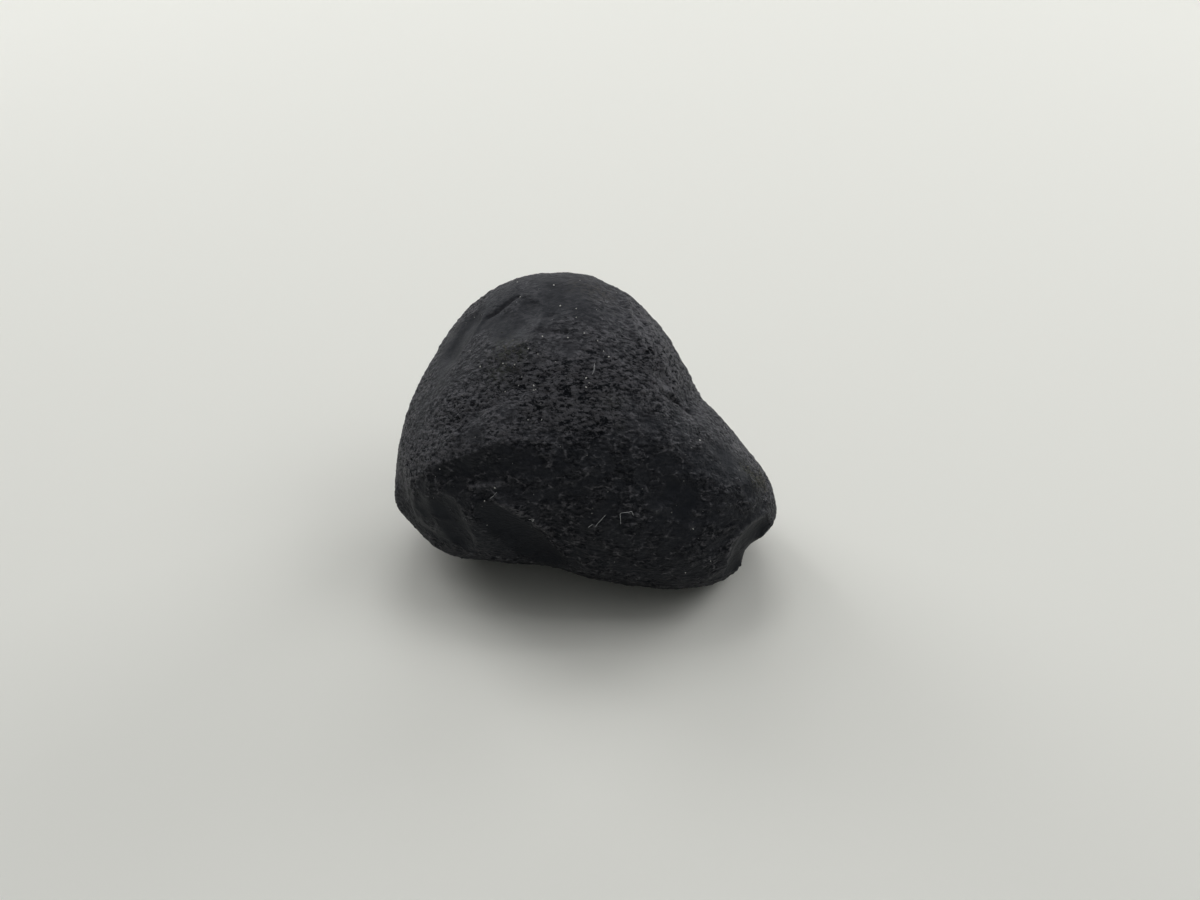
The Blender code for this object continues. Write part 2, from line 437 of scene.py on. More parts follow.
# where the ground water bit harder or spared the glass: place in mm, spread in mm, change
etchedZones = {
    "bandMiddle": ((-2.3, -9.0, 25.0), 4.4, 0.42),
    "bandLow": ((1.5, -11.0, 22.6), 3.5, 0.38),
    "bandRight": ((7.4, -9.4, 22.0), 3.5, 0.10),
    "bandEnd": ((5.2, -11.7, 21.7), 2.7, -0.38),
    "bandFoot": ((-2.0, -11.6, 22.6), 2.0, -0.20),
    "troughSide": ((-13.9, 0.6, 24.2), 2.2, -0.45),
    "topEdge": ((-10.0, 1.6, 27.6), 2.0, -0.35),
    # the shoulder's extra etching also lightens its frost, in part a painted sheen along the right shoulder
    "shoulder": ((7.2, -3.9, 25.5), 2.6, 0.45),
    "heel": ((-15.5, -11.5, 11.0), 3.6, -0.45),
    "heelEdge": ((-18.3, -8.0, 14.9), 2.4, 0.25),
    "troughTop": ((-12.0, 0.3, 25.9), 1.6, -0.40),
    "troughFoot": ((-13.4, -1.2, 24.2), 1.6, -0.40),
    "litChips": ((12.9, -12.0, 16.6), 1.8, 0.20),
    "backUpper": ((-3.0, 11.0, 23.0), 4.0, 0.35),
    "backMiddle": ((1.0, 15.0, 12.0), 3.5, 0.25),
    "backFoot": ((10.0, 12.0, 6.0), 3.5, -0.30),
    "leftFoot": ((-16.5, 6.0, 10.0), 3.5, -0.30),
    "rightUpper": ((12.0, 6.0, 19.0), 3.5, 0.35),
    "rightFoot": ((16.5, 5.0, 6.0), 3.0, -0.25),
    "underSwath": ((-12.2, -8.4, 21.9), 2.4, 0.45),
    "heelTop": ((-16.4, -9.5, 17.2), 2.0, 0.10),
    "toeTop": ((14.0, -8.8, 17.4), 3.2, -0.30),
    "toeEnd": ((16.8, -10.0, 14.6), 2.2, -0.20),
    "belowLedge": ((-9.9, -14.4, 15.3), 1.4, 0.30),
    "ridgeTop": ((-6.3, -15.3, 14.8), 1.3, 0.50),
    "ridgeFoot": ((-3.4, -14.9, 11.6), 1.8, 0.45),
    "frontFoot": ((2.5, -14.0, 8.0), 4.0, 0.05),
    "plateau": ((-1.4, -6.0, 27.6), 1.5, -0.60),
    "leftFlank": ((-13.6, -3.4, 23.4), 4.2, -0.36),
    "flankFoot": ((-16.4, -6.6, 19.2), 3.0, -0.22),
    "topLeft": ((-7.5, -1.0, 28.4), 3.6, -0.30),
    "swath": ((-10.8, -11.1, 21.4), 1.6, -0.60),
    "swathEnd": ((-7.4, -10.4, 23.2), 1.2, -0.40),
    "rightSmooth": ((9.9, -14.2, 15.7), 2.0, -0.40),
    "crown": ((-1.0, 2.0, 30.0), 4.5, -0.22),
}

# thin films of soil minerals in the pits: places in mm, how far they spread, and how strong they are
stains = {
    "olive": [((-7.8, -5.1, 26.9), 1.6, 0.8), ((-6.3, -5.6, 27.2), 1.3, 0.7),
              ((-8.3, -6.9, 25.5), 1.3, 0.7), ((2.6, -9.6, 23.6), 0.9, 0.5),
              ((3.4, -11.2, 21.8), 0.7, 0.4), ((16.4, -9.2, 15.5), 1.0, 0.8),
              ((17.3, -9.5, 14.3), 1.0, 0.8)],
    "brown": [((1.5, 1.9, 29.7), 1.8, 0.6), ((-0.5, 2.0, 30.2), 1.4, 0.5),
              ((17.7, -8.2, 14.0), 0.9, 0.8), ((18.2, -8.3, 12.9), 0.8, 0.8)],
}


def throughModifiers(mesh, steps):
    # the mesh that a stack of modifiers makes of this one, each given as its kind and its settings
    work = bpy.data.objects.new("skinWork", mesh)
    bpy.context.scene.collection.objects.link(work)
    for kind, settings in steps:
        modifier = work.modifiers.new(kind.lower(), kind)
        for name, value in settings.items():
            setattr(modifier, name, value)
    made = bpy.data.meshes.new_from_object(work.evaluated_get(bpy.context.evaluated_depsgraph_get()))
    bpy.data.objects.remove(work)
    return made


def fineCopy(node):
    # a closed, even, smooth grid of points on the node's shape, in millimetres
    mesh = node.data.copy()
    mesh.transform(Matrix.Scale(1 / mm, 4))
    return throughModifiers(mesh, [
        ("WELD", {"merge_threshold": skin["weld"]}),
        ("SUBSURF", {"levels": skin["rounding"], "render_levels": skin["rounding"]}),
        ("REMESH", {"mode": "VOXEL", "voxel_size": skin["gridStep"]}),
        ("SMOOTH", {"iterations": skin["smoothing"], "factor": 0.5}),
    ])


def readVectors(source, name):
    values = np.empty(len(source) * 3, np.float32)
    source.foreach_get(name, values)
    return values.reshape(-1, 3).astype(float)


def readPoints(mesh):
    return readVectors(mesh.vertices, "co")


def readNormals(mesh):
    return readVectors(mesh.vertex_normals, "vector")


def writePoints(mesh, points):
    mesh.vertices.foreach_set("co", points.astype(np.float32).ravel())
    mesh.update()


def writeLayer(mesh, name, values):
    # a number at each point, which the material reads by name
    layer = mesh.attributes.new(name, "FLOAT", "POINT")
    layer.data.foreach_set("value", values.astype(np.float32))


def layOnSkin(route, points, normals):
    # moves a route's places onto the skin, and gives the way out of the stone at each
    found = [np.argmin(np.sum((points - np.array(spot)) ** 2, axis=1)) for spot in route]
    return points[found], normals[found]


def pressScoops(points, normals):
    # the points pushed out of every scoop's balls, and how polished the skin is there
    polish = np.zeros(len(points))
    moved = points.copy()
    for scoop in scoops.values():
        if "axis" in scoop:
            axis = np.array(scoop["axis"])
        else:
            spots, out = layOnSkin(scoop["route"], points, normals)
            axis = spots + out * (scoop["radius"] - scoop["depth"])
        gap, nearest = routeDistance(moved, axis)
        inside = scoop["radius"] - gap
        push = np.logaddexp(0, inside / scoop["rim"]) * scoop["rim"]
        away = (moved - nearest) / np.maximum(gap, 1e-6)[:, None]
        # eight rims away the push is next to nothing, and is left out
        moved += away * np.where(inside > -8 * scoop["rim"], push, 0)[:, None]
        polish = np.maximum(polish, scoop["polish"] * smoothStep(*polishFade, inside))
    return moved, polish


def raiseCreases(points, normals):
    # the skin raised or cut along every crease
    lift = np.zeros(len(points))
    wander = 1 + creaseWander["share"] * softNoise(points, creaseWander["size"], 40)
    for crease in creases.values():
        spots, _ = layOnSkin(crease["route"], points, normals)
        gap, _ = routeDistance(points, spots)
        lift += crease["lift"] * wander * np.exp(-(gap / crease["width"]) ** 2)
    return points + normals * lift[:, None]


def frontFace(points, lean):
    # 1 on the smoother broken front below the brow, 0 on the etched rest
    x = points[:, 0]
    reach = [browEdge["crispUpTo"], browEdge["wornFrom"]]
    half = np.interp(x, reach, browEdge["halfWidth"])
    stray = np.interp(x, reach, browEdge["wander"]) * softNoise(points, browEdge["wanderSize"], 60)
    above = points[:, 2] + stray - np.interp(x, *zip(*browLine))
    facing = lean[:, 1] - np.interp(x, browEdge["heelX"], browEdge["heelFacing"])
    return smoothStep(half, -half, above) * smoothStep(*browEdge["facing"], facing)


def etchLayer(points, lean, front, polish):
    # how deep the glass is etched at each point
    above, below = etching["crown"], etching["front"]
    patch = smoothStep(*above["fade"], softNoise(points, above["patch"], 61))
    slope = smoothStep(*etching["topFade"], lean[:, 2]) * smoothStep(*etching["wallFade"], lean[:, 2])
    mottle = smoothStep(*below["fade"], softNoise(points, below["mottle"], 66))
    crown = above["least"] + above["patches"] * patch + above["shoulders"] * slope
    etch = crown * (1 - front) + (below["least"] + below["mottling"] * mottle) * front
    for place, spread, change in etchedZones.values():
        etch += change * np.exp(-np.sum((points - np.array(place)) ** 2, axis=1) / spread ** 2)
    island = smoothStep(*etching["islandFade"], softNoise(points, etching["island"], 67))
    islands = etching["most"] - etching["spared"] * island
    return np.clip(etch, *etching["limits"]) * (1 - etching["polished"] * polish) * islands


def etchPits(points, normals, etch, front, polish):
    # pits and lumps cut into the skin as deep as it is etched, and how deep they go
    bend = [softNoise(points, reliefBend["size"], 50 + k) for k in range(3)]
    bent = points + reliefBend["reach"] * np.stack(bend, 1)
    bent[:, 0] /= reliefStretch
    cut = {name: pit["cut"] * cupPits(bent, pit["cell"], 1 + k, *pit["reach"])
           for k, (name, pit) in enumerate(pits.items())}
    lump = sum(kind["lift"] * (np.abs(softNoise(bent, kind["size"], 64 + k)) - lumpMiddle)
               for k, kind in enumerate(lumps.values()))
    swell = sum(height * softNoise(points, size, 62 + k)
                for k, (size, height) in enumerate(swells.values()))
    onCrown = largePits["crown"]
    shallow = (onCrown + (1 - onCrown) * front) * (1 - largePits["polished"] * polish)
    depth = etch * (cut["fine"] - lump) + shallow * (cut["broad"] + front * cut["wide"])
    return points + normals * (swell - depth)[:, None], depth


def frostLayer(etch, front, polish):
    # how much frost lies at each point, before the scuffs
    bare = (1 - frosting["front"] * front) * (1 - frosting["polished"] * polish)
    return bare * (frosting["least"] + frosting["etched"] * etch)


def stainLayer(points, spots):
    # how strong a mineral film is at each point
    total = np.zeros(len(points))
    for place, spread, strength in spots:
        gap = np.linalg.norm(points - np.array(place), axis=1)
        total = np.maximum(total, strength * np.exp(-(gap / spread) ** 2))
    return total


def highlightAndScuffLayer(points, normals):
    # how much heavier the frost is at each point: rubbed edges and painted highlights
    total = np.zeros(len(points))
    for stroke in highlightsAndScuffs.values():
        spots, _ = layOnSkin(stroke["route"], points, normals)
        gap, _ = routeDistance(points, spots)
        total = np.maximum(total, stroke["strength"] * np.exp(-(gap / stroke["width"]) ** 2))
    return total * (1 + highlightAndScuffWander["share"] * softNoise(points, highlightAndScuffWander["size"], 70))


def makeSkin(node):
    # lean is the way out of the stone before it is carved
    fine = fineCopy(node)
    points, lean = readPoints(fine), readNormals(fine)
    print("skin grid", len(points), "points")
    front = frontFace(points, lean)
    points, polish = pressScoops(points, lean)
    writePoints(fine, points)
    points = raiseCreases(points, readNormals(fine))
    writePoints(fine, points)
    etch = etchLayer(points, lean, front, polish)
    points, depth = etchPits(points, readNormals(fine), etch, front, polish)
    writePoints(fine, points)
    writeLayer(fine, "etch", etch)
    writeLayer(fine, "depth", depth)
    # the frost layer also carries the painted highlights of the rubbed edges
    writeLayer(fine, "frost", frostLayer(etch, front, polish) + highlightAndScuffLayer(points, lean))
    for name, spots in stains.items():
        writeLayer(fine, name, stainLayer(points, spots))
    share = skin["triangles"] / (2 * len(fine.polygons))        # the fine grid is all four-sided
    thin = throughModifiers(fine, [("DECIMATE", {"ratio": share})])
    points = readPoints(thin)
    points[:, 2] = np.maximum(points[:, 2], 0)      # nothing reaches below the floor
    writePoints(thin, points)
    thin.calc_loop_triangles()
    print("skin", len(thin.loop_triangles), "triangles")
    thin.transform(Matrix.Scale(mm, 4))
    thin.shade_smooth()
    thin.materials.clear()
    thin.materials.append(etchedGlass())
    stone = bpy.data.objects.new("stoneSkin", thin)
    bpy.context.scene.collection.objects.link(stone)
    return stone


# the finish of the etched glass
glassFinish = {
    "bare": "#090b11",         # black glass with no frost on it
    "frosted": "#5c5b5f",      # and under a full frost
    "films": {"olive": "#3b3d34", "brown": "#3e3a33"},
    "proud": 2.0,              # how much lighter the lumps are than the hollows: painted light on the lumps and painted shade in the hollows
    "dullness": 0.58,
    "dullSwing": 0.22,         # how much duller the hollows are than the lumps
    "refraction": 1.49,        # natural glass
    "shine": 0.235,
    "glint": "#eaf3ff",        # what shines off the frost is slightly blue
}
# its patterns: sizes and heights in mm
glassPatterns = {
    "sway": {"size": 0.3, "reach": 0.25},
    "wrinkle": {"size": 0.34, "height": 0.95, "detail": 3.0, "harshness": 0.68},
    "cup": {"size": 0.33, "height": 0.38},
    "grain": {"size": 0.14, "height": 0.035},
    "thread": {"size": 1.0, "height": 0.05, "frost": 0.65},
    "breaks": {"size": 0.7},   # where the threads come and go
    "fleck": {"size": 0.24},
    "clot": {"size": 0.4},     # the patches of the films
    "cloud": {"size": 2.6},
}
# which part of each pattern is used, and what it becomes
glassRanges = {
    "thread": {"From Max": 0.09, "To Min": 1.0, "To Max": 0.0},
    "breaks": {"From Min": 0.48, "From Max": 0.56},
    "etched": {"From Min": 0.15, "From Max": 0.45},
    "fleck": {"From Min": 0.2, "From Max": 0.95, "To Min": 0.58, "To Max": 1.60},
    "side": {"From Min": 0.36, "From Max": 0.64, "To Min": -1.0, "To Max": 1.0},
    # how much darker the deepest pits are made: painted shade in the pits
    "pitShade": {"From Max": 0.25, "To Min": 1.0, "To Max": 0.7},
    "clot": {"From Min": 0.42, "From Max": 0.62},
    "uneven": {"From Min": 0.3, "From Max": 0.7, "To Min": 0.88, "To Max": 1.12},
}


def patternScale(name):
    # a pattern's size in mm as the scale that a texture takes
    return 1 / (glassPatterns[name]["size"] * mm)


def drawnAcross(tree, place):
    # the relief and the flecks are bent a little and drawn out across the stone
    reach, stretch = (glassPatterns["sway"]["reach"] * mm,) * 3, (1 / reliefStretch, 1.0, 1.0)
    sway = addNode(tree, "ShaderNodeTexNoise", {"Scale": patternScale("sway"), "Detail": 1.0},
                   {"Vector": place})
    bent = addNode(tree, "ShaderNodeVectorMath", {"operation": "MULTIPLY_ADD", 1: reach},
                   {0: sway.outputs["Color"], 2: place})
    drawn = addNode(tree, "ShaderNodeVectorMath", {"operation": "MULTIPLY", 1: stretch},
                    {0: bent.outputs["Vector"]})
    return drawn.outputs["Vector"]


def wornThreads(tree, place, drawn, etch):
    # short worn edges between small chips in the glass, broken up, and only where it is etched
    chip = addNode(tree, "ShaderNodeTexVoronoi",
                   {"feature": "DISTANCE_TO_EDGE", "Scale": patternScale("thread")}, {"Vector": drawn})
    line = addNode(tree, "ShaderNodeMapRange", glassRanges["thread"],
                   {"Value": chip.outputs["Distance"]})
    breaks = addNode(tree, "ShaderNodeTexNoise", {"Scale": patternScale("breaks"), "Detail": 1.0},
                     {"Vector": place})
    some = addNode(tree, "ShaderNodeMapRange", glassRanges["breaks"], {"Value": breaks.outputs["Fac"]})
    etched = addNode(tree, "ShaderNodeMapRange", glassRanges["etched"], {"Value": etch})
    thread = line.outputs["Result"]
    for share in (some, etched):
        thread = addNode(tree, "ShaderNodeMath", {"operation": "MULTIPLY"},
                         {0: thread, 1: share.outputs["Result"]}).outputs["Value"]
    return thread


def glassRelief(tree, place, drawn, wrinkle, thread, etch):
    # lumps and pits of 0.3 mm, too fine for the mesh, as deep as the glass is etched
    # and over them grain and the threads
    height = {name: pattern["height"] for name, pattern in glassPatterns.items() if "height" in pattern}
    cup = addNode(tree, "ShaderNodeTexVoronoi", {"Scale": patternScale("cup")}, {"Vector": drawn})
    rough = addNode(tree, "ShaderNodeMath", {"operation": "MULTIPLY", 1: height["cup"]},
                    {0: cup.outputs["Distance"]})
    rough = addNode(tree, "ShaderNodeMath", {"operation": "MULTIPLY_ADD", 1: height["wrinkle"]},
                    {0: wrinkle, 2: rough.outputs["Value"]})
    grain = addNode(tree, "ShaderNodeTexNoise", {"Scale": patternScale("grain"), "Detail": 1.0},
                    {"Vector": place})
    fine = addNode(tree, "ShaderNodeMath", {"operation": "MULTIPLY", 1: height["grain"]},
                   {0: grain.outputs["Fac"]})
    fine = addNode(tree, "ShaderNodeMath", {"operation": "MULTIPLY_ADD", 1: height["thread"]},
                   {0: thread, 2: fine.outputs["Value"]})
    relief = addNode(tree, "ShaderNodeMath", {"operation": "MULTIPLY_ADD"},
                     {0: rough.outputs["Value"], 1: etch, 2: fine.outputs["Value"]})
    bump = addNode(tree, "ShaderNodeBump", {"Strength": 1.0, "Distance": mm},
                   {"Height": relief.outputs["Value"]})
    return bump.outputs["Normal"]


def frostAndReliefShading(tree, drawn, swing, thread, layers):
    # frost lies on the threads and in small flecks; the colour is then made lighter on the lumps and darker
    # in the hollows, a painted light and shade that follows the relief, and darker in the deep pits, a
    # painted shade
    fleck = addNode(tree, "ShaderNodeTexVoronoi", {"Scale": patternScale("fleck")}, {"Vector": drawn})
    flecks = addNode(tree, "ShaderNodeMapRange", glassRanges["fleck"], {"Value": fleck.outputs["Color"]})
    # the lumps lighter and the hollows darker: painted light and shade that follow the relief
    proud = addNode(tree, "ShaderNodeMath",
                    {"operation": "MULTIPLY_ADD", 1: glassFinish["proud"], 2: 1.0}, {0: swing})
    # the deeper a pit, the darker its colour: painted shade
    pitShade = addNode(tree, "ShaderNodeMapRange", glassRanges["pitShade"], {"Value": layers["depth"]})
    frost = addNode(tree, "ShaderNodeMath",
                    {"operation": "MULTIPLY_ADD", 1: glassPatterns["thread"]["frost"]},
                    {0: thread, 2: layers["frost"]})
    for share in (flecks, proud, pitShade):
        frost = addNode(tree, "ShaderNodeMath", {"operation": "MULTIPLY"},
                        {0: frost.outputs["Value"], 1: share.outputs[0]})
    glass = addNode(tree, "ShaderNodeMix", {"data_type": "RGBA"}, {"Factor": frost.outputs["Value"]})
    glass.inputs["A"].default_value = linearColour(glassFinish["bare"])
    glass.inputs["B"].default_value = linearColour(glassFinish["frosted"])
    return glass.outputs["Result"]


def mineralFilms(tree, place, colour, layers):
    # films of soil minerals over the glass, in patches
    clot = addNode(tree, "ShaderNodeTexNoise", {"Scale": patternScale("clot"), "Detail": 2.0},
                   {"Vector": place})
    patchy = addNode(tree, "ShaderNodeMapRange", glassRanges["clot"], {"Value": clot.outputs["Fac"]})
    for name, code in glassFinish["films"].items():
        share = addNode(tree, "ShaderNodeMath", {"operation": "MULTIPLY"},
                        {0: patchy.outputs["Result"], 1: layers[name]})
        film = addNode(tree, "ShaderNodeMix", {"data_type": "RGBA"},
                       {"Factor": share.outputs["Value"], "A": colour})
        film.inputs["B"].default_value = linearColour(code)
        colour = film.outputs["Result"]
    return colour


def unevenDullness(tree, place, swing):
    # duller in the hollows than on the lumps, and a little uneven from place to place
    dull = addNode(tree, "ShaderNodeMath",
                   {"operation": "MULTIPLY_ADD", 1: -glassFinish["dullSwing"], 2: glassFinish["dullness"]},
                   {0: swing})
    cloud = addNode(tree, "ShaderNodeTexNoise", {"Scale": patternScale("cloud"), "Detail": 4.0},
                    {"Vector": place})
    uneven = addNode(tree, "ShaderNodeMapRange", glassRanges["uneven"], {"Value": cloud.outputs["Fac"]})
    dull = addNode(tree, "ShaderNodeMath", {"operation": "MULTIPLY"},
                   {0: dull.outputs["Value"], 1: uneven.outputs["Result"]})
    return dull.outputs["Value"]


def etchedGlass():
    # volcanic glass whose skin was etched by ground water:
    # black, with a dull grey frost on what stands proud
    material, tree = newMaterial("volcanic glass, etched by ground water")
    place = addNode(tree, "ShaderNodeTexCoord").outputs["Object"]
    layers = {name: addNode(tree, "ShaderNodeAttribute", {"attribute_name": name}).outputs["Fac"]
              for name in ("etch", "depth", "frost", "olive", "brown")}
    drawn = drawnAcross(tree, place)
    wrinkle = addNode(tree, "ShaderNodeTexNoise", {
        "Scale": patternScale("wrinkle"),
        "Detail": glassPatterns["wrinkle"]["detail"],
        "Roughness": glassPatterns["wrinkle"]["harshness"],
    }, {"Vector": drawn}).outputs["Fac"]
    # -1 in the hollows and 1 on the lumps, as far as the glass is etched
    side = addNode(tree, "ShaderNodeMapRange", glassRanges["side"], {"Value": wrinkle})
    swing = addNode(tree, "ShaderNodeMath", {"operation": "MULTIPLY"},
                    {0: side.outputs["Result"], 1: layers["etch"]}).outputs["Value"]
    thread = wornThreads(tree, place, drawn, layers["etch"])
    colour = frostAndReliefShading(tree, drawn, swing, thread, layers)
    shader = addNode(tree, "ShaderNodeBsdfPrincipled", {
        "IOR": glassFinish["refraction"],
        "Specular IOR Level": glassFinish["shine"],
        "Specular Tint": linearColour(glassFinish["glint"]),
    }, {
        "Base Color": mineralFilms(tree, place, colour, layers),
        "Roughness": unevenDullness(tree, place, swing),
        "Normal": glassRelief(tree, place, drawn, wrinkle, thread, layers["etch"]),
    })
    addNode(tree, "ShaderNodeOutputMaterial", links={"Surface": shader.outputs["BSDF"]})
    return material


# mineral grains caught on the skin, each about half sunk in: their places and widths in mm
# a heap is a middle, how far it spreads, and a count of grains
grains = {
    "paleDust": {
        "material": "pale mineral dust, settled",
        "seen": [(-5.5, -5.6, 27.4), (-4.5, -6.2, 27.1), (-8.0, -6.3, 26.1), (-6.8, -6.7, 26.2),
                 (-2.8, -7.0, 26.8), (-6.4, -8.4, 24.9), (-4.9, -8.7, 25.1), (-4.7, -9.0, 24.9),
                 (-4.9, -9.1, 24.8), (0.2, -8.3, 25.7), (0.5, -8.7, 25.4), (0.2, -9.0, 25.1),
                 (1.3, -5.0, 27.9), (1.9, -5.8, 27.2), (2.4, -6.2, 26.8), (0.0, -4.4, 28.4),
                 (-1.6, -4.9, 28.2), (-4.1, -4.6, 28.2), (-6.1, -7.8, 25.5), (-7.7, -8.6, 24.3),
                 (-5.4, -11.3, 22.8), (-4.1, -11.3, 22.8), (-6.4, 0.9, 29.4), (-3.1, 2.0, 30.2),
                 (-2.4, -1.1, 29.6), (-0.8, -1.7, 29.6), (-0.8, -2.7, 29.2), (-10.3, -5.6, 25.3),
                 (-6.9, 4.1, 29.4), (-14.3, -11.7, 17.2), (-8.7, -14.1, 16.7), (-9.8, -14.6, 15.4),
                 (-5.1, -15.1, 13.5), (12.6, -15.3, 8.5), (10.1, -15.6, 7.2), (10.7, -15.5, 12.7),
                 (14.2, -4.9, 17.6), (11.4, -9.7, 19.3)],
        "seenWidth": (0.10, 0.18),
        "strewn": 200, "strewnWidth": (0.03, 0.08),
        "heaps": [], "seed": 5,
        "shades": ("#cfcec8", "#f4f3ef"), "rough": 0.7,
    },
    "drySoil": {
        "material": "dry soil crumbs, caught in the pits",
        "seen": [(-6.4, -6.2, 26.6), (-7.4, -5.6, 26.8), (0.7, -2.6, 29.2), (1.2, 0.6, 29.9)],
        "seenWidth": (0.07, 0.12),
        "strewn": 60, "strewnWidth": (0.04, 0.08),
        "heaps": [((16.5, -9.2, 15.4), 0.45, 26), ((17.1, -9.5, 14.6), 0.45, 40),
                  ((17.7, -9.3, 13.9), 0.40, 40), ((18.2, -8.9, 13.1), 0.35, 30),
                  ((18.1, -7.6, 13.5), 0.30, 20), ((-7.4, -5.6, 26.7), 1.10, 40)],
        "heapWidth": (0.07, 0.26), "seed": 6,
        "shades": ("#2a2a27", "#62615b"), "rough": 0.85,
    },
}
# how a grain is shaped and seated, as shares of its width
grainForm = {"depth": (0.4, 0.85), "height": (0.4, 0.7), "proud": 0.12, "jagged": 0.09}
# strewn specks fall from a dome this wide round the stone onto the nearest skin, in mm
dome = {"middle": 13, "reach": (20, 16, 17), "lowest": -0.2}

# specks of lint: routes in mm over the skin
lint = {
    "thickness": 0.038,
    "rise": 0.05,              # how far it stands off the skin
    "step": 0.08,              # between its rings of points
    "sides": 6,
    "easing": 2,               # passes that round its corners
    "routes": [
        [(3.6, -16.0, 13.7), (3.5, -15.7, 14.8), (4.7, -15.6, 14.9), (4.8, -15.7, 14.5)],
        [(1.1, -15.9, 13.4), (2.1, -15.7, 14.6)],
        [(0.4, -15.9, 13.2), (0.8, -15.9, 13.6)],
        [(1.0, -7.1, 26.6), (1.0, -7.6, 26.2), (0.8, -8.0, 25.9)],
        [(-8.5, -14.3, 16.3), (-8.8, -14.5, 16.1), (-9.2, -14.5, 15.7)],
        [(-5.4, -15.0, 13.6), (-5.2, -15.1, 13.8), (-4.9, -15.1, 13.6), (-5.0, -15.0, 13.3)],
    ],
    "strewn": 16, "length": (0.4, 1.3), "bend": 0.4, "seed": 8,
    "backFrom": 0.35,          # it is strewn where the skin faces back by this or more
    "shades": ("#9fa0a2", "#dedfe2"), "rough": 0.75,
}

# the dry finish of grains and lint: sizes and heights in mm, and the refraction of quartz and cotton
dustFaces = {
    "patch": 0.5, "patchRange": {"From Min": 0.38, "From Max": 0.62},
    "crumb": 0.03, "crumbHeight": 0.01,
    "refraction": 1.54,
}


def dustFinish(name, shades, rough):
    # dry mineral dust or cotton lint: matt, and pale or dark from grain to grain
    material, tree = newMaterial(name)
    place = addNode(tree, "ShaderNodeTexCoord").outputs["Object"]
    patch = addNode(tree, "ShaderNodeTexNoise", {"Scale": 1 / (dustFaces["patch"] * mm), "Detail": 3.0},
                    {"Vector": place})
    share = addNode(tree, "ShaderNodeMapRange", dustFaces["patchRange"], {"Value": patch.outputs["Fac"]})
    colour = addNode(tree, "ShaderNodeMix", {"data_type": "RGBA"}, {"Factor": share.outputs["Result"]})
    colour.inputs["A"].default_value = linearColour(shades[0])
    colour.inputs["B"].default_value = linearColour(shades[1])
    crumb = addNode(tree, "ShaderNodeTexNoise", {"Scale": 1 / (dustFaces["crumb"] * mm), "Detail": 2.0},
                    {"Vector": place})
    bump = addNode(tree, "ShaderNodeBump", {"Strength": 0.5, "Distance": dustFaces["crumbHeight"] * mm},
                   {"Height": crumb.outputs["Fac"]})
    shader = addNode(tree, "ShaderNodeBsdfPrincipled", {
        "IOR": dustFaces["refraction"],
        "Roughness": rough,
    }, {
        "Base Color": colour.outputs["Result"],
        "Normal": bump.outputs["Normal"],
    })
    addNode(tree, "ShaderNodeOutputMaterial", links={"Surface": shader.outputs["BSDF"]})
    return material


def onSkin(stone, place):
    # the nearest place on the stone to one in mm, and the way out of the stone there
    _, spot, out, _ = stone.closest_point_on_mesh(Vector(place) * mm)
    return spot, out


def somewhere(stone, draw):
    aim = Vector((draw.gauss(0, 1), draw.gauss(0, 1), abs(draw.gauss(0, 1)) + dome["lowest"])).normalized()
    across, deep, high = dome["reach"]
    return onSkin(stone, (across * aim.x, deep * aim.y, dome["middle"] + high * aim.z))


def addGrain(shape, spot, out, width, draw):
    # a flattened ball with a jagged skin, turned at random on the stone
    upright = out.to_track_quat("Z", "Y").to_matrix().to_4x4()
    turn = upright @ Matrix.Rotation(draw.uniform(0, 6.28), 4, "Z")
    deep, high = width * draw.uniform(*grainForm["depth"]), width * draw.uniform(*grainForm["height"])
    size = Matrix.Diagonal((width, deep, high, 1))
    move = Matrix.Translation(spot + out * width * grainForm["proud"] * mm)
    made = bmesh.ops.create_icosphere(shape, subdivisions=2, radius=0.5 * mm, matrix=move @ turn @ size)
    for vert in made["verts"]:
        vert.co += Vector([draw.uniform(-1, 1) for k in range(3)]) * width * grainForm["jagged"] * mm


def newPiece(name, shape, material):
    mesh = bpy.data.meshes.new(name)
    shape.to_mesh(mesh)
    shape.free()
    mesh.materials.append(material)
    piece = bpy.data.objects.new(name, mesh)
    bpy.context.scene.collection.objects.link(piece)
    return piece


def makeGrains(stone, name, kind):
    draw = random.Random(kind["seed"])
    shape = bmesh.new()
    for place in kind["seen"]:
        addGrain(shape, *onSkin(stone, place), draw.uniform(*kind["seenWidth"]), draw)
    for middle, spread, count in kind["heaps"]:
        for k in range(count):
            place = [c + draw.gauss(0, spread) for c in middle]
            addGrain(shape, *onSkin(stone, place), draw.uniform(*kind["heapWidth"]), draw)
    for k in range(kind["strewn"]):
        addGrain(shape, *somewhere(stone, draw), draw.uniform(*kind["strewnWidth"]), draw)
    bmesh.ops.recalc_face_normals(shape, faces=shape.faces)
    return newPiece(name, shape, dustFinish(kind["material"], kind["shades"], kind["rough"]))


def fibrePath(stone, route):
    # even steps along the route, its corners eased, laid just over the skin
    route = [Vector(place) for place in route]
    spots = []
    for a, b in zip(route[:-1], route[1:]):
        steps = max(2, round((b - a).length / lint["step"]))
        spots += [a.lerp(b, k / steps) for k in range(steps)]
    spots.append(route[-1])
    for passed in range(lint["easing"]):
        spots[1:-1] = [(a + b + c) / 3 for a, b, c in zip(spots[:-2], spots[1:-1], spots[2:])]
    laid = []
    for spot in spots:
        place, out = onSkin(stone, spot)
        laid.append((place + out * lint["rise"] * mm, out))
    return laid


